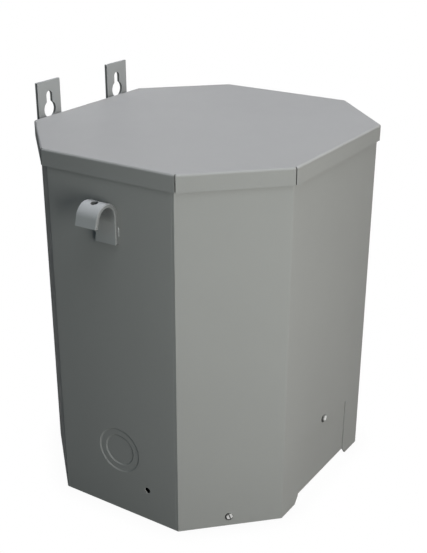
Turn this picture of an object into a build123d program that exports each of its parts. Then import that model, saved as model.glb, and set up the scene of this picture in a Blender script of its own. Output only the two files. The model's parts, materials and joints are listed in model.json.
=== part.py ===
from build123d import *
import os
from math import sqrt

# A wall-mounted dry-type distribution transformer in a folded sheet-steel case.
# Millimetres, Z up. The case stands on z = 0, its front faces -Y and the wall is at +Y.
# X = 0 is its plane of symmetry, and Y = 0 lies midway between the lid's front and the wall.

# Lid: a folded pan, eight-sided in plan, with 45 degree corners and a slit between its skirts
lid_width = 344.0
lid_depth = 317.4
lid_corner = 79.8
lid_skirt = 17.0
lid_sheet = 1.2
lid_bend = 2.4
lid_slit = 1.4

# Case: its height to the lid's top, and how far the lid laps over its faces
height = 389.4
side_lap = 1.6
front_lap = 2.8
back_lap = 4.6
case_sheet = 1.5
case_bend = 3.0
seam_flange = 14.0

# Front cover: the notch in its lower edge and the cut corners beside it
notch_width = 110.4
notch_height = 73.0
notch_cut = 6.5
notch_cut_rise = 8.1

# Wiring plate, which closes the notch from behind, and base, a tray with its rim turned down:
# both stop short of the floor
foot_gap = 8.0
plate_lap = 18.0
plate_edge = 4.0
base_rim = 18.0

# Potted block: the core and windings cast in compound, over the wiring space and under the lid
wiring_space = 120.0
block_headroom = 15.0

# Side panels: the concentric knockout and the earth hole, from the panel's middle and the floor
knockout_outer = 50.4
knockout_inner = 34.9
knockout_rise = 74.0
knockout_step = 0.8
knockout_slope = 1.6
knockout_forward = 1.7
earth_hole = 7.0
earth_rise = 36.6
earth_forward = 37.5

# Lifting hooks: a flat bar bent over, welded to the side by its long leg, with its lip flared out
hook_width = 25.4
hook_bar = 4.0
hook_edge = 0.8
hook_throat = 23.4
hook_drop = 18.9
hook_leg = 29.0
hook_lip = 8.8
hook_eye = 7.6
hook_eye_out = 2.0
hook_turn = 165.0
hook_set_back = 0.9

# Wall brackets: channels on the back, with the web carried up as a keyhole tab
wall_gap = 8.8
bracket_spread = 118.9
bracket_width = 36.3
bracket_plate = 3.0
bracket_bend = 4.5
bracket_foot = 4.0
bracket_clear = 5.0
tab_rise = 35.3
keyhole_entry = 18.4
keyhole_slot = 9.2
keyhole_entry_rise = 4.3
keyhole_slot_rise = 24.5
keyhole_neck = 1.5

# One overrun serves every cut that passes right through a sheet
overrun = 10.0

lid_front = -(lid_depth + wall_gap) / 2
lid_back = lid_front + lid_depth
wall = lid_back + wall_gap
case_half = lid_width / 2 - side_lap
case_front = lid_front + front_lap
case_back = lid_back - back_lap
wrap_top = height - lid_bend
cover_top = height - lid_sheet
side_middle = (lid_front + lid_back) / 2
knockout_centre = (side_middle - knockout_forward, knockout_rise)
ring_radius = (knockout_outer - knockout_slope) / 2
disc_radius = (knockout_inner - knockout_slope) / 2
half_turn = 180.0
corner_turn = 45.0
first_corner_turn = 112.5


def plan_left(sides, front, back):
    """The plan's four left-hand corners, back to front, inset from the lid's outline."""
    half = lid_width / 2 - sides
    front_reach = lid_width / 2 - lid_corner - front * sqrt(2)
    back_reach = lid_width / 2 - lid_corner - back * sqrt(2)
    return [
        (-back_reach - back, lid_back - back),
        (-half, lid_back - half + back_reach),
        (-half, lid_front + half - front_reach),
        (-front_reach - front, lid_front + front),
    ]


def to_right(points):
    """The same points on the right-hand side, in the order that carries the outline on."""
    return [(-x, y) for x, y in reversed(points)]


# Lid: eight skirts folded down from one sheet, parted by a slit at each corner up through the bend
lid_plan = plan_left(0, 0, 0)
lid_plan += to_right(lid_plan)

with BuildPart() as lid:
    with BuildSketch(Plane.XY.offset(height - lid_skirt)):
        with BuildLine():
            Polyline(*lid_plan, close=True)
        make_face()
    extrude(amount=lid_skirt)
    fillet(lid.faces().sort_by(Axis.Z)[-1].edges(), lid_bend)
    offset(amount=-lid_sheet, openings=lid.faces().sort_by(Axis.Z)[0])
    with BuildSketch(Plane.XY.offset(height - lid_skirt)):
        for number, (x, y) in enumerate(lid_plan):
            with Locations(Location((x, y), first_corner_turn + corner_turn * number)):
                Rectangle(2 * lid_bend, lid_slit)
    extrude(amount=lid_skirt, mode=Mode.SUBTRACT)

# Front cover: one sheet bent round the front and both front corners, flush with the sides
cover_left = plan_left(side_lap, front_lap, back_lap)[2:]
cover_end = (cover_left[0][0] - overrun, cover_left[0][1] + overrun)
cover_path = [cover_end, cover_left[1]]
cover_path += to_right(cover_path)
notch_half = notch_width / 2
notch_left = [(-notch_half - notch_cut, 0), (-notch_half, notch_cut_rise), (-notch_half, notch_height)]

with BuildPart() as front_cover:
    with BuildSketch():
        with BuildLine():
            FilletPolyline(*cover_path, radius=case_bend)
            offset(amount=case_sheet, side=Side.LEFT)
        make_face()
    extrude(amount=cover_top)
    with BuildSketch(Plane.XZ) as silhouette:
        with Locations((0, cover_top / 2)):
            Rectangle(2 * case_half, cover_top)
        chamfer(silhouette.vertices().group_by(Axis.Y)[-1], lid_bend)
    extrude(amount=lid_depth, both=True, mode=Mode.INTERSECT)
    with BuildSketch(Plane.XZ.offset(-case_front)):
        with BuildLine():
            Polyline(*notch_left, *to_right(notch_left), close=True)
        make_face()
    extrude(amount=overrun, both=True, mode=Mode.SUBTRACT)

# Wiring plate: flat, against the back of the cover and clear of the floor
plate_top = notch_height + plate_lap
plate_width = -2 * (cover_left[1][0] + plate_edge)

with BuildPart() as wiring_plate:
    with BuildSketch(Plane.XZ.offset(-case_front - case_sheet)):
        with Locations((0, (foot_gap + plate_top) / 2)):
            Rectangle(plate_width, plate_top - foot_gap)
    extrude(amount=-case_sheet)

# Case wrap: one sheet round the sides, the back corners and the back, with a flange behind the cover
wrap_left = plan_left(side_lap, front_lap + case_sheet, back_lap)[:3]
flange_run = seam_flange / sqrt(2)
flange_end = (wrap_left[2][0] + flange_run, wrap_left[2][1] - flange_run)
wrap_path = to_right(wrap_left + [flange_end])
wrap_path += to_right(wrap_path)

with BuildPart() as case_wrap:
    with BuildSketch():
        with BuildLine():
            FilletPolyline(*wrap_path, radius=case_bend)
            offset(amount=case_sheet, side=Side.LEFT)
        make_face()
    extrude(amount=wrap_top)
    with BuildSketch(Plane.YZ):
        with Locations(knockout_centre):
            Circle(ring_radius)
        with Locations((side_middle - earth_forward, earth_rise)):
            Circle(earth_hole / 2)
    extrude(amount=lid_width, both=True, mode=Mode.SUBTRACT)
    for end in (0, -1):
        panel = case_wrap.faces().sort_by(Axis.X)[end]
        rim = panel.inner_wires().sort_by(SortBy.LENGTH)[-1]
        chamfer(rim.edges(), knockout_slope, knockout_step, reference=panel)

# Inside the case: what fits behind the wiring plate and the seam flanges, against the wrap
inner_plan = plan_left(side_lap + case_sheet, front_lap + 2 * case_sheet, back_lap + case_sheet)
inner_plan += to_right(inner_plan)

with BuildPart() as base:
    with BuildSketch(Plane.XY.offset(foot_gap)):
        with BuildLine():
            Polyline(*inner_plan, close=True)
        make_face()
    extrude(amount=base_rim)
    fillet(base.edges().filter_by(Axis.Z), case_bend)
    offset(amount=-case_sheet, openings=base.faces().sort_by(Axis.Z)[0])

with BuildPart() as potted_block:
    with BuildSketch(Plane.XY.offset(wiring_space)):
        with BuildLine():
            Polyline(*inner_plan, close=True)
        make_face()
    extrude(amount=height - block_headroom - wiring_space)
    fillet(potted_block.edges().filter_by(Axis.Z), case_bend)

# Knockouts: a disc inside a ring, each pressed one sloping step further into the side
with BuildPart() as right_knockout_ring:
    with BuildSketch(Plane.YZ.offset(case_half - knockout_step)):
        with Locations(knockout_centre):
            Circle(ring_radius)
            Circle(disc_radius, mode=Mode.SUBTRACT)
    extrude(amount=-case_sheet)
    outside = right_knockout_ring.faces().sort_by(Axis.X)[-1]
    chamfer(outside.inner_wires()[0].edges(), knockout_slope, knockout_step, reference=outside)

with BuildPart() as right_knockout_disc:
    with BuildSketch(Plane.YZ.offset(case_half - 2 * knockout_step)):
        with Locations(knockout_centre):
            Circle(disc_radius)
    extrude(amount=-case_sheet)

# Lifting hook: the bar runs up the side, over the arch and down to its flared lip
hook_arch = hook_throat / 2 + hook_bar
hook_crown = height - lid_skirt - hook_drop
hook_middle = side_middle + hook_set_back
arch_centre = (case_half + hook_arch, hook_crown - hook_arch)

with BuildPart() as right_hook:
    with BuildSketch(Plane.XZ.offset(-hook_middle)):
        with BuildLine():
            Line((case_half, arch_centre[1] - hook_leg), (case_half, arch_centre[1]))
            arch = CenterArc(arch_centre, hook_arch, start_angle=half_turn, arc_size=-hook_turn)
            PolarLine(arch @ 1, hook_lip, direction=arch % 1)
            offset(amount=hook_bar, side=Side.RIGHT)
        make_face()
    extrude(amount=hook_width / 2, both=True)
    bar_sides = right_hook.faces().sort_by(Axis.Y)
    chamfer(bar_sides[0].edges() + bar_sides[-1].edges(), hook_edge)
    with Locations((arch_centre[0] + hook_eye_out, hook_middle, hook_crown)):
        Hole(hook_eye / 2, depth=2 * hook_bar)

# Wall bracket: a channel against the back, its web carried up behind the lid
bracket_middle = bracket_spread / 2
bracket_inner = bracket_middle - bracket_width / 2
bracket_outer = bracket_middle + bracket_width / 2
channel_top = height - lid_skirt - bracket_clear
tab_top = height + tab_rise
keyhole_entry_height = height + keyhole_entry_rise
slot_centre_height = height + keyhole_slot_rise - keyhole_slot / 2
channel_path = [(bracket_inner, case_back), (bracket_inner, wall)]
channel_path += [(bracket_outer, wall), (bracket_outer, case_back)]

with BuildPart() as right_bracket:
    with BuildSketch(Plane.XY.offset(bracket_foot)):
        with BuildLine():
            FilletPolyline(*channel_path, radius=bracket_bend)
            offset(amount=bracket_plate, side=Side.RIGHT)
        make_face()
    extrude(amount=channel_top - bracket_foot)
    with BuildSketch(Plane.XZ.offset(-wall)):
        with Locations((bracket_middle, (channel_top + tab_top) / 2)):
            Rectangle(bracket_width, tab_top - channel_top)
    extrude(amount=bracket_plate)
    with BuildSketch(Plane.XZ.offset(-wall)) as keyhole:
        with Locations((bracket_middle, keyhole_entry_height)):
            Circle(keyhole_entry / 2)
        with Locations((bracket_middle, (keyhole_entry_height + slot_centre_height) / 2)):
            SlotCenterToCenter(slot_centre_height - keyhole_entry_height, keyhole_slot, rotation=90)
        fillet(keyhole.vertices().group_by(Axis.Y)[-2], keyhole_neck)
    extrude(amount=overrun, both=True, mode=Mode.SUBTRACT)

# Left-hand twins of the side pieces
with BuildPart() as left_knockout_ring:
    mirror(right_knockout_ring.part, about=Plane.YZ)

with BuildPart() as left_knockout_disc:
    mirror(right_knockout_disc.part, about=Plane.YZ)

with BuildPart() as left_hook:
    mirror(right_hook.part, about=Plane.YZ)

with BuildPart() as left_bracket:
    mirror(right_bracket.part, about=Plane.YZ)

pieces = {
    "lid": lid,
    "front_cover": front_cover,
    "wiring_plate": wiring_plate,
    "case_wrap": case_wrap,
    "base": base,
    "potted_block": potted_block,
    "left_knockout_ring": left_knockout_ring,
    "left_knockout_disc": left_knockout_disc,
    "right_knockout_ring": right_knockout_ring,
    "right_knockout_disc": right_knockout_disc,
    "left_hook": left_hook,
    "right_hook": right_hook,
    "left_bracket": left_bracket,
    "right_bracket": right_bracket,
}

os.makedirs("parts", exist_ok=True)
for name, piece in pieces.items():
    piece.part.label = name
    export_step(piece.part, f"parts/{name}.step")
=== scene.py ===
import json
import math

import bmesh
import bpy
from mathutils import Matrix, Vector, noise


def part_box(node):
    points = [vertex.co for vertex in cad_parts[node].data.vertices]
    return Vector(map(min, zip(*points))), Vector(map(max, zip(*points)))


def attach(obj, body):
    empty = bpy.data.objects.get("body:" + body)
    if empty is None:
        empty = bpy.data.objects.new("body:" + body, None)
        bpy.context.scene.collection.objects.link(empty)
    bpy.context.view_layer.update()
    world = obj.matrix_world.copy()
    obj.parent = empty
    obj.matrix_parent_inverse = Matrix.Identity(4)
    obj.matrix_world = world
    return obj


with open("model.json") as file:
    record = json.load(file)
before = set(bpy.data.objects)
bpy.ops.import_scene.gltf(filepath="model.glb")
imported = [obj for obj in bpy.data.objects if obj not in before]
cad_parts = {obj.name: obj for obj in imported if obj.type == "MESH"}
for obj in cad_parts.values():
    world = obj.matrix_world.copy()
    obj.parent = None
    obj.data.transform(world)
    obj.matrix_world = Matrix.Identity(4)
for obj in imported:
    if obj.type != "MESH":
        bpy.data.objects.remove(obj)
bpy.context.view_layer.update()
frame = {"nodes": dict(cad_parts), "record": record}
nodes = frame["nodes"]

MM = 0.001
WHITE = (1, 1, 1, 1)

# Each hand's side of the middle plane, along X
HANDS = {"left": -1, "right": 1}

# The photograph's frame in pixels, with the place where the lens axis meets it
IMAGE_WIDTH = 427
IMAGE_HEIGHT = 553
FOCAL_PIXELS = 995.99
AXIS_PIXEL = (204.28, 298.83)
SENSOR = 36.0

# Where the photograph was taken from, in metres and degrees
CAMERA_PLACE = Vector((-0.86673, -0.57055, 0.65338))
CAMERA_HEADING = -56.73
CAMERA_DIP = 24.37
CAMERA_ROLL = -0.04

# Places on the case, read from the solids
cover_low, cover_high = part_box("front_cover")
_, wrap_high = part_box("case_wrap")
FRONT = cover_low.y
BACK = wrap_high.y
CASE_HALF = cover_high.x


def camera():
    """The photograph's own viewpoint."""
    data = bpy.data.cameras.new("camera")
    data.sensor_fit = "VERTICAL"
    data.sensor_height = SENSOR
    data.sensor_width = SENSOR
    data.lens = FOCAL_PIXELS * SENSOR / IMAGE_HEIGHT
    data.shift_x = (IMAGE_WIDTH / 2 - AXIS_PIXEL[0]) / IMAGE_HEIGHT
    data.shift_y = (AXIS_PIXEL[1] - IMAGE_HEIGHT / 2) / IMAGE_HEIGHT
    turn = Matrix.Rotation(math.radians(CAMERA_HEADING), 4, "Z")
    dip = Matrix.Rotation(math.radians(90 - CAMERA_DIP), 4, "X")
    roll = Matrix.Rotation(math.radians(CAMERA_ROLL), 4, "Z")
    eye = bpy.data.objects.new("camera", data)
    eye.matrix_world = Matrix.Translation(CAMERA_PLACE) @ turn @ dip @ roll
    bpy.context.scene.collection.objects.link(eye)
    bpy.context.scene.camera = eye


# Node trees

# The Mix node's colour sockets, by number because its other kinds use the same names
MIX_FIRST = 6
MIX_SECOND = 7
MIX_RESULT = 2

# Where the masks for edges, facing and nearby metal start and where they are full
EDGE_RANGE = (1.0, 0.9)
EDGE_SAMPLES = 4
FACING_RANGE = (0.2, 0.7)
OCCLUSION_RANGE = (0.9, 0.6)
OCCLUSION_SAMPLES = 8


class Nodes:
    """A node tree, with short calls to add to it."""

    def __init__(self, tree):
        self.tree = tree

    def node(self, kind, **settings):
        made = self.tree.nodes.new(kind)
        for key, value in settings.items():
            setattr(made, key, value)
        return made

    def link(self, source, target):
        self.tree.links.new(source, target)

    def math(self, operation, first, second):
        worked = self.node("ShaderNodeMath", operation=operation)
        for socket, term in zip(worked.inputs, (first, second)):
            if isinstance(term, (int, float)):
                socket.default_value = term
            else:
                self.link(term, socket)
        return worked.outputs["Value"]

    def show(self, lighting, seen, output):
        """Light the object with one shader, and show the other to the eye and in reflections."""
        rays = self.node("ShaderNodeLightPath").outputs
        showing = self.math("MAXIMUM", rays["Is Camera Ray"], rays["Is Glossy Ray"])
        showing = self.math("MAXIMUM", showing, rays["Is Transmission Ray"])
        choice = self.node("ShaderNodeMixShader")
        factor, first, second = choice.inputs
        self.link(showing, factor)
        self.link(lighting, first)
        self.link(seen, second)
        self.link(choice.outputs["Shader"], output.inputs["Surface"])


class Finish(Nodes):
    """A new material, with short calls for what the finishes share."""

    def __init__(self, name):
        self.material = bpy.data.materials.new(name)
        self.material.use_nodes = True
        super().__init__(self.material.node_tree)
        self.surface = self.tree.nodes["Principled BSDF"]
        self.place = self.node("ShaderNodeTexCoord").outputs["Object"]

    def set(self, socket, value):
        self.surface.inputs[socket].default_value = value

    def feed(self, socket, source):
        self.link(source, self.surface.inputs[socket])

    def noise(self, per_metre, detail):
        """A noise value whose grain is 1 / per_metre across."""
        grain = self.node("ShaderNodeTexNoise")
        grain.inputs["Scale"].default_value = per_metre
        grain.inputs["Detail"].default_value = detail
        self.link(self.place, grain.inputs["Vector"])
        return grain.outputs["Fac"]

    def spread(self, value, low, high, to_low=0.0, to_high=1.0):
        """The value's range from low to high, laid over the new range and held there."""
        span = self.node("ShaderNodeMapRange", clamp=True)
        limits = (low, high, to_low, to_high)
        for socket, limit in zip(("From Min", "From Max", "To Min", "To Max"), limits):
            span.inputs[socket].default_value = limit
        self.link(value, span.inputs["Value"])
        return span.outputs["Result"]

    def blend(self, factor, first, second):
        """The first colour at factor 0 and the second at 1."""
        mix = self.node("ShaderNodeMix", data_type="RGBA")
        self.link(factor, mix.inputs["Factor"])
        for socket, colour in ((MIX_FIRST, first), (MIX_SECOND, second)):
            if isinstance(colour, tuple):
                mix.inputs[socket].default_value = (*colour, 1)
            else:
                self.link(colour, mix.inputs[socket])
        return mix.outputs[MIX_RESULT]

    def edges(self, radius):
        """1 on the solids' edges and 0 on their faces."""
        rounded = self.node("ShaderNodeBevel", samples=EDGE_SAMPLES)
        rounded.inputs["Radius"].default_value = radius
        flat = self.node("ShaderNodeNewGeometry")
        agree = self.node("ShaderNodeVectorMath", operation="DOT_PRODUCT")
        self.link(rounded.outputs["Normal"], agree.inputs[0])
        self.link(flat.outputs["Normal"], agree.inputs[1])
        return self.spread(agree.outputs["Value"], *EDGE_RANGE)

    def facing(self, axis):
        """1 on faces that look along an axis and 0 on those that lie along it."""
        normal = self.node("ShaderNodeNewGeometry").outputs["True Normal"]
        parts = self.node("ShaderNodeSeparateXYZ")
        self.link(normal, parts.inputs["Vector"])
        return self.spread(self.math("POWER", parts.outputs[axis], 2), *FACING_RANGE)

    def occluded(self, reach):
        """1 on faces that look at others within reach and 0 in the open."""
        near = self.node("ShaderNodeAmbientOcclusion", samples=OCCLUSION_SAMPLES)
        near.inputs["Distance"].default_value = reach
        return self.spread(near.outputs["AO"], *OCCLUSION_RANGE)

    def bump(self, height, distance, strength):
        raised = self.node("ShaderNodeBump")
        raised.inputs["Distance"].default_value = distance
        raised.inputs["Strength"].default_value = strength
        self.link(height, raised.inputs["Height"])
        self.feed("Normal", raised.outputs["Normal"])


def tinted(colour, share):
    return tuple(channel * share for channel in colour)


# Finishes: grains are in cells per metre, and tones are shares of the finish's own colour

# The stretches of a noise's values that the masks spread over
WIDE_NOISE = (0.3, 0.7)
TIGHT_NOISE = (0.35, 0.65)

GREY = (0.37, 0.375, 0.365)
COOL_GREY = (0.406, 0.42, 0.418)
# The hooks' paint is lighter than the brackets': painted light, for the light from above on the hooks'
# lips
HOOK_PAINTED_LIGHT_TONE = 1.08
CLOUD_GRAIN = 9
CLOUD_TONES = (0.98, 1.015)
SPECK_GRAIN = 1400
SPECK_SHARE = 0.35
SPECK_TONE = 0.94
RUB_HIGHLIGHT_RADIUS = 0.6 * MM
RUB_HIGHLIGHT_GRAIN = 160
RUB_HIGHLIGHT_NOISE = (0.4, 0.75)
RUB_HIGHLIGHT_SHARE = 0.5
RUB_HIGHLIGHT_TONE = 1.2
AXIS_SHADE_TONE = 0.55
OCCLUSION_SHADE_TONE = 0.4
HOOK_SHADE_REACH = 25 * MM
COAT_GLOSS = 0.03
COAT_GRAIN = 60
COAT_ROUGHNESS = (0.68, 0.78)
PEEL_GRAIN = 420
FINE_PEEL_GRAIN = 1300
FINE_PEEL_SHARE = 0.35
PEEL_HEIGHT = 0.06 * MM
PEEL_STRENGTH = 0.5


def powder_coat(name, colour, shade_axis=None, shade_reach=None):
    """Matt grey powder coat with orange peel, clouding and specks, its edges lighter in patches:
    rubbed paint and a painted highlight.

    Faces that look along an axis, and faces that look at other metal close by, are darkened: painted
    shade.
    """
    coat = Finish(name)
    cloud = coat.spread(coat.noise(CLOUD_GRAIN, detail=3), *WIDE_NOISE)
    tone = coat.blend(cloud, *(tinted(colour, share) for share in CLOUD_TONES))
    speck = coat.spread(coat.noise(SPECK_GRAIN, detail=1), *TIGHT_NOISE)
    tone = coat.blend(coat.math("MULTIPLY", speck, SPECK_SHARE), tone, tinted(colour, SPECK_TONE))
    # Edges are lighter in noisy patches: partly rubbed paint, partly a painted highlight along the
    # edges
    patch = coat.spread(coat.noise(RUB_HIGHLIGHT_GRAIN, detail=3), *RUB_HIGHLIGHT_NOISE)
    rub_and_highlight = coat.math("MULTIPLY", coat.edges(RUB_HIGHLIGHT_RADIUS), patch)
    tone = coat.blend(coat.math("MULTIPLY", rub_and_highlight, RUB_HIGHLIGHT_SHARE), tone, tinted(colour, RUB_HIGHLIGHT_TONE))
    # Faces that look along the given axis are darkened: painted shade
    if shade_axis:
        tone = coat.blend(coat.facing(shade_axis), tone, tinted(colour, AXIS_SHADE_TONE))
    # Faces with metal close in front of them are darkened: painted shade
    if shade_reach:
        tone = coat.blend(coat.occluded(shade_reach), tone, tinted(colour, OCCLUSION_SHADE_TONE))
    coat.feed("Base Color", tone)
    coat.set("Specular IOR Level", COAT_GLOSS)
    coat.feed("Roughness", coat.spread(coat.noise(COAT_GRAIN, detail=4), *WIDE_NOISE, *COAT_ROUGHNESS))
    fine_peel = coat.math("MULTIPLY", coat.noise(FINE_PEEL_GRAIN, detail=1), FINE_PEEL_SHARE)
    peel = coat.math("ADD", coat.noise(PEEL_GRAIN, detail=2), fine_peel)
    coat.bump(peel, PEEL_HEIGHT, PEEL_STRENGTH)
    return coat.material


# Lighter and darker copies of one zinc: painted highlight on the screw heads' faces, painted shade on
# their flanks
LIT_FACE_ZINC = 0.62
SHADED_FLANK_ZINC = 0.42
ZINC_BLUE_SHARE = 0.98
BLOOM_GRAIN = 900
BLOOM_TONE = 0.8
ZINC_ROUGHNESS = (0.3, 0.42)
PLATE_GRAIN = 3000
PLATE_HEIGHT = 0.02 * MM
PLATE_STRENGTH = 0.4


def zinc(name, level):
    """Zinc plate with a dull bloom."""
    plate = Finish(name)
    bloom = plate.spread(plate.noise(BLOOM_GRAIN, detail=3), *WIDE_NOISE)
    bright = (level, level, ZINC_BLUE_SHARE * level)
    plate.feed("Base Color", plate.blend(bloom, tinted(bright, BLOOM_TONE), bright))
    plate.set("Metallic", 1.0)
    plate.feed("Roughness", plate.spread(bloom, 0, 1, *ZINC_ROUGHNESS))
    plate.bump(plate.noise(PLATE_GRAIN, detail=2), PLATE_HEIGHT, PLATE_STRENGTH)
    return plate.material


SHADOW_RUBBER_BLACK = (0.03, 0.03, 0.03)
DUSTY_BLACK = (0.06, 0.06, 0.058)
DUST_GRAIN = 1200
DUST_NOISE = (0.4, 0.7)
RUBBER_ROUGHNESS = 0.75
RUBBER_GLOSS = 0.2


def rubber(name):
    """Black rubber, dull with fine dust; on the screws it is painted shadow and shade."""
    shadow_seal = Finish(name)
    dust = shadow_seal.spread(shadow_seal.noise(DUST_GRAIN, detail=2), *DUST_NOISE)
    shadow_seal.feed("Base Color", shadow_seal.blend(dust, SHADOW_RUBBER_BLACK, DUSTY_BLACK))
    shadow_seal.set("Roughness", RUBBER_ROUGHNESS)
    shadow_seal.set("Specular IOR Level", RUBBER_GLOSS)
    return shadow_seal.material


RESIN_BROWN = (0.06, 0.056, 0.052)
FILLER_BROWN = (0.11, 0.104, 0.096)
FILLER_GRAIN = 700
CAST_ROUGHNESS = (0.7, 0.85)
CAST_GRAIN = 500
CAST_HEIGHT = 0.2 * MM
CAST_STRENGTH = 0.6


def compound(name):
    """Dark cast potting compound with fine filler."""
    cast = Finish(name)
    filler = cast.spread(cast.noise(FILLER_GRAIN, detail=4), *TIGHT_NOISE)
    cast.feed("Base Color", cast.blend(filler, RESIN_BROWN, FILLER_BROWN))
    cast.feed("Roughness", cast.spread(filler, 0, 1, *CAST_ROUGHNESS))
    cast.bump(cast.noise(CAST_GRAIN, detail=4), CAST_HEIGHT, CAST_STRENGTH)
    return cast.material


# Brackets get painted shade on faces that look along X, hooks on faces that look along Y
bracket_paint = powder_coat("bracket_paint", COOL_GREY, "X")
hook_paint = powder_coat("hook_paint", tinted(COOL_GREY, HOOK_PAINTED_LIGHT_TONE), "Y", HOOK_SHADE_REACH)
lit_face_zinc = zinc("lit_face_zinc", LIT_FACE_ZINC)
shaded_flank_zinc = zinc("shaded_flank_zinc", SHADED_FLANK_ZINC)
shadow_seal_rubber = rubber("shadow_seal_rubber")
finish_of_slot = {
    "case_paint": powder_coat("case_paint", GREY),
    "bracket_paint": bracket_paint,
    "compound": compound("block_compound"),
}

for subpart in frame["record"]["subparts"]:
    node = subpart["node"]
    finish = hook_paint if node.endswith("hook") else finish_of_slot[subpart["material_slot"]]
    nodes[node].data.materials.clear()
    nodes[node].data.materials.append(finish)


def piece(name, mesh, *finishes):
    """A new object on the case, in the row's frame."""
    shape = bpy.data.meshes.new(name)
    mesh.to_mesh(shape)
    mesh.free()
    for finish in finishes:
        shape.materials.append(finish)
    made = bpy.data.objects.new(name, shape)
    bpy.context.scene.collection.objects.link(made)
    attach(made, "root")
    return made


# Screws: slotted hexagon heads, each on a black rubber seal that sits a little low and aside, a
# painted shadow of the head

HEAD_FLATS = 6.4 * MM
HEAD_HEIGHT = 2.4 * MM
HEAD_CROWN = 0.5 * MM
SHADOW_SEAL_RADIUS = 4.4 * MM
SHADOW_SEAL_HEIGHT = 0.7 * MM
SHADOW_SEAL_EDGE = SHADOW_SEAL_HEIGHT / 3
# The seal's shift shows its black rim below and beside the head: painted shadow
SHADOW_SEAL_SHIFT = (-0.3 * MM, -1.2 * MM)
SHADOW_SEAL_SIDES = 40
SLOT_WIDTH = 1.1 * MM
SLOT_DEPTH = 1.1 * MM
SLOT_EDGE = HEAD_CROWN / 4
BEVEL_STEPS = 2

# A screw's finishes in order: lighter zinc on the head's outward faces as a painted highlight, darker
# zinc on its flanks as painted shade, and black rubber as painted shadow; and how far outwards a face
# of the head looks to take the lighter zinc
LIT_FACE, SHADED_FLANK, SHADOW_SEAL = range(3)
LIT_FACING = 0.3


def prism(mesh, outline, low, high, bevel):
    """A closed prism over an outline, its top edge bevelled. Returns its faces."""
    before = set(mesh.faces)
    foot = mesh.faces.new([mesh.verts.new((x, y, low)) for x, y in outline])
    raised = bmesh.ops.extrude_face_region(mesh, geom=[foot])["geom"]
    corners = [part for part in raised if isinstance(part, bmesh.types.BMVert)]
    bmesh.ops.translate(mesh, verts=corners, vec=(0, 0, high - low))
    top = [part for part in raised if isinstance(part, bmesh.types.BMFace)][0]
    bmesh.ops.bevel(mesh, geom=list(top.edges), offset=bevel, segments=BEVEL_STEPS, affect="EDGES")
    return [face for face in mesh.faces if face not in before]


def hexagon_part(side, turn):
    """The half of the turned hexagon on one side of the slot, or the slot's own strip for 0."""
    corner = HEAD_FLATS / math.sqrt(3)
    half_slot = SLOT_WIDTH / 2
    slot_end = corner - half_slot / math.sqrt(3)
    outline = [(slot_end, half_slot), (-slot_end, half_slot)]
    if side == 0:
        outline += [(-x, -y) for x, y in outline]
    else:
        outline[1:1] = [(corner / 2, HEAD_FLATS / 2), (-corner / 2, HEAD_FLATS / 2)]
    if side < 0:
        outline = [(-x, -y) for x, y in outline]
    across, along = math.cos(turn), math.sin(turn)
    return [(x * across - y * along, x * along + y * across) for x, y in outline]


def screw(name, place, outward, turn):
    """A screw on its black seal, a painted shadow, standing at a place on the case and turned about
    its own axis.
    """
    mesh = bmesh.new()
    ring = [2 * math.pi * step / SHADOW_SEAL_SIDES for step in range(SHADOW_SEAL_SIDES)]
    aside, down = SHADOW_SEAL_SHIFT
    disc = [(aside + SHADOW_SEAL_RADIUS * math.cos(a), down + SHADOW_SEAL_RADIUS * math.sin(a)) for a in ring]
    shadow_seal = prism(mesh, disc, 0, SHADOW_SEAL_HEIGHT, SHADOW_SEAL_EDGE)
    foot = SHADOW_SEAL_HEIGHT / 2
    halves = []
    for side in (-1, 1):
        halves += prism(mesh, hexagon_part(side, turn), foot, HEAD_HEIGHT, HEAD_CROWN)
    slot = prism(mesh, hexagon_part(0, turn), foot, HEAD_HEIGHT - SLOT_DEPTH, SLOT_EDGE)
    bmesh.ops.recalc_face_normals(mesh, faces=mesh.faces)
    # Outward faces take the lighter zinc, a painted highlight, and the flanks the darker zinc, painted
    # shade
    for face in halves:
        face.material_index = LIT_FACE if face.normal.z > LIT_FACING else SHADED_FLANK
    # The slot and the seal are black rubber: painted shade in the slot, painted shadow below the head
    for face in slot + shadow_seal:
        face.material_index = SHADOW_SEAL
    aim = outward.to_track_quat("Z", "Y").to_matrix().to_4x4()
    mesh.transform(Matrix.Translation(place) @ aim)
    piece(name, mesh, lit_face_zinc, shaded_flank_zinc, shadow_seal_rubber)


FRONT_SCREW_ASIDE = -1.6 * MM
FRONT_SCREW_RISE = 79.9 * MM
FRONT_SCREW_TURN = math.radians(60)
CORNER_SCREW_RISE = 12.3 * MM
CORNER_SCREW_BACK = 1.0 * MM
CORNER_SCREW_TURN = math.radians(112)

front_place = Vector((FRONT_SCREW_ASIDE, FRONT, FRONT_SCREW_RISE))
screw("front_screw", front_place, Vector((0, -1, 0)), FRONT_SCREW_TURN)

cover_corners = [corner.co for corner in nodes["front_cover"].data.vertices]
for hand, side in HANDS.items():
    outward = Vector((side, -1, 0)).normalized()
    # The same at every point of the corner panel: its distance out to the side plus that to the front
    reach = math.sqrt(2) * max(outward.dot(corner) for corner in cover_corners)
    middle = (CASE_HALF + reach + FRONT) / 2 + CORNER_SCREW_BACK
    place = Vector((side * middle, middle - reach, CORNER_SCREW_RISE))
    screw(f"{hand}_corner_screw", place, outward, CORNER_SCREW_TURN)


# Welds: rippled beads where the hooks' legs and the brackets' flanges meet the case

BEAD_STEP = 0.4 * MM
BEAD_SIDES = 10
BEAD_TAPER_SHARE = 1 / 6
BEAD_TIP_SHARE = 0.08
RIPPLE = 1.6 * MM
RIPPLE_SHARE = 0.12
UNEVEN_LENGTH = 5 * MM
UNEVEN_SHARE = 0.25


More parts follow.
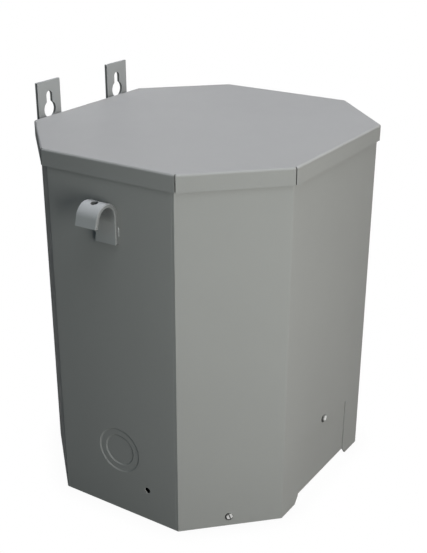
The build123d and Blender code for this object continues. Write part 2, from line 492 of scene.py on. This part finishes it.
def weld(name, start, end, out_a, out_b, width):
    """A bead along a corner, bulging between the corner's two outward directions."""
    mesh = bmesh.new()
    along = end - start
    steps = round(along.length / BEAD_STEP)
    loops = []
    for step in range(steps + 1):
        share = step / steps
        centre = start + along * share
        swell = math.sqrt(min(1.0, share / BEAD_TAPER_SHARE, (1 - share) / BEAD_TAPER_SHARE))
        ripple = 1 + RIPPLE_SHARE * math.sin(2 * math.pi * share * along.length / RIPPLE)
        uneven = 1 + UNEVEN_SHARE * noise.noise(centre / UNEVEN_LENGTH)
        radius = width * max(BEAD_TIP_SHARE, swell) * ripple * uneven
        loop = []
        for side in range(BEAD_SIDES):
            angle = 2 * math.pi * side / BEAD_SIDES
            bulge = out_a * math.cos(angle) + out_b * math.sin(angle)
            loop.append(mesh.verts.new(centre + radius * bulge))
        loops.append(loop)
    for low, high in zip(loops, loops[1:]):
        for side in range(BEAD_SIDES):
            after = (side + 1) % BEAD_SIDES
            mesh.faces.new((low[side], low[after], high[after], high[side]))
    mesh.faces.new(loops[0])
    mesh.faces.new(loops[-1])
    bmesh.ops.recalc_face_normals(mesh, faces=mesh.faces)
    for face in mesh.faces:
        face.smooth = True
    bead = piece(name, mesh, bracket_paint)


HOOK_BEAD = 0.9 * MM
HOOK_WELD_LOW = 7 * MM
HOOK_WELD_HIGH = 18 * MM

for hand, side in HANDS.items():
    low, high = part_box(f"{hand}_hook")
    for edge, name, outward in ((low.y, "front", -1), (high.y, "rear", 1)):
        foot = Vector((side * CASE_HALF, edge, low.z + HOOK_WELD_LOW))
        head = Vector((side * CASE_HALF, edge, low.z + HOOK_WELD_HIGH))
        faces = (Vector((side, 0, 0)), Vector((0, outward, 0)))
        weld(f"{hand}_hook_{name}_weld", foot, head, *faces, HOOK_BEAD)

BRACKET_BEAD = 2.2 * MM
BRACKET_WELD_LENGTH = 30 * MM
BRACKET_WELD_RISES = (40 * MM, 185 * MM, 330 * MM)

for hand, side in HANDS.items():
    low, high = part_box(f"{hand}_bracket")
    for edge, outward in ((low.x, -1), (high.x, 1)):
        flange = "outer" if outward == side else "inner"
        faces = (Vector((outward, 0, 0)), Vector((0, 1, 0)))
        for number, rise in enumerate(BRACKET_WELD_RISES, 1):
            foot = Vector((edge, BACK, rise - BRACKET_WELD_LENGTH / 2))
            head = Vector((edge, BACK, rise + BRACKET_WELD_LENGTH / 2))
            weld(f"{hand}_bracket_{flange}_weld_{number}", foot, head, *faces, BRACKET_BEAD)


# Stage: white floor, soft lights and a white surround

FLOOR_HALF = 12.0
FLOOR_BOUNCE = 0.12
FLOOR_ROUGHNESS = 0.9
CONTACT_REACH = 0.03
CONTACT_RANGE = (0.3, 0.95)
CONTACT_TONE = 0.95
CONTACT_SAMPLES = 16
LIGHT_AIM = Vector((0, 0, 0.2))

# Each softbox: bearing to the left of the front, height angle, distance, diameter, colour, watts
SOFTBOXES = {
    "top": (290, 82, 2.0, 0.8, (0.94, 0.93, 1.0), 25.3),
    "corner": (45, 65, 2.2, 1.2, (0.94, 0.97, 1.0), 9.5),
    "front": (0, 20, 4.0, 2.0, (1.0, 0.935, 0.9), 31.5),
    "near": (31.5, 12.5, 1.0, 0.5, (0.98, 1.0, 0.96), 4.4),
    "left": (95, 30, 3.0, 1.6, (0.1, 0.7, 1.0), 2.0),
    "wall": (230, 4, 3.0, 0.8, (1.0, 1.0, 1.0), 36),
}

# The surround's own light, dim all round and brighter towards the right and the wall
AMBIENT = 0.015
FILL = 0.15
FILL_FROM = (0.87, 0.5, 0.0)


def floor():
    """White to the eye, with a soft shadow where the case stands, and a low bounce of light."""
    mesh = bmesh.new()
    bmesh.ops.create_grid(mesh, x_segments=1, y_segments=1, size=FLOOR_HALF)
    shape = bpy.data.meshes.new("floor")
    mesh.to_mesh(shape)
    mesh.free()
    pale = Finish("floor")
    pale.set("Base Color", (FLOOR_BOUNCE, FLOOR_BOUNCE, FLOOR_BOUNCE, 1))
    pale.set("Roughness", FLOOR_ROUGHNESS)
    pale.set("Specular IOR Level", 0.0)
    near = pale.node("ShaderNodeAmbientOcclusion", samples=CONTACT_SAMPLES)
    near.inputs["Distance"].default_value = CONTACT_REACH
    contact = pale.spread(near.outputs["AO"], *CONTACT_RANGE, CONTACT_TONE, 1.0)
    glow = pale.node("ShaderNodeEmission")
    pale.link(contact, glow.inputs["Strength"])
    output = pale.tree.nodes["Material Output"]
    pale.show(pale.surface.outputs["BSDF"], glow.outputs["Emission"], output)
    shape.materials.append(pale.material)
    ground = bpy.data.objects.new("floor", shape)
    bpy.context.scene.collection.objects.link(ground)


def softbox(name, bearing, height, distance, diameter, colour, watts):
    """A round lamp that faces the case and doesn't show itself."""
    data = bpy.data.lights.new(name, "AREA")
    data.shape = "DISK"
    data.size = diameter
    data.color = colour
    data.energy = watts
    aside = math.radians(bearing)
    lift = math.radians(height)
    level = Vector((-math.sin(aside), -math.cos(aside), 0))
    away = level * math.cos(lift) + Vector((0, 0, math.sin(lift)))
    lamp = bpy.data.objects.new(name, data)
    turn = away.to_track_quat("Z", "Y").to_matrix().to_4x4()
    lamp.matrix_world = Matrix.Translation(LIGHT_AIM + away * distance) @ turn
    lamp.visible_camera = False
    bpy.context.scene.collection.objects.link(lamp)


def surround():
    """White to the eye, and a dim light that is stronger from the right and the wall."""
    world = bpy.data.worlds.new("surround")
    world.use_nodes = True
    sky = Nodes(world.node_tree)
    facing = sky.node("ShaderNodeVectorMath", operation="DOT_PRODUCT")
    facing.inputs[1].default_value = FILL_FROM
    sky.link(sky.node("ShaderNodeTexCoord").outputs["Generated"], facing.inputs[0])
    grow = sky.node("ShaderNodeMapRange", interpolation_type="SMOOTHSTEP")
    grow.inputs["To Min"].default_value = AMBIENT
    grow.inputs["To Max"].default_value = FILL
    sky.link(facing.outputs["Value"], grow.inputs["Value"])
    light = sky.tree.nodes["Background"]
    light.inputs["Color"].default_value = WHITE
    sky.link(grow.outputs["Result"], light.inputs["Strength"])
    white = sky.node("ShaderNodeBackground")
    white.inputs["Color"].default_value = WHITE
    output = sky.tree.nodes["World Output"]
    sky.show(light.outputs["Background"], white.outputs["Background"], output)
    bpy.context.scene.world = world


floor()
surround()
for name, settings in SOFTBOXES.items():
    softbox(name, *settings)
camera()
bpy.context.scene.view_settings.view_transform = "Standard"
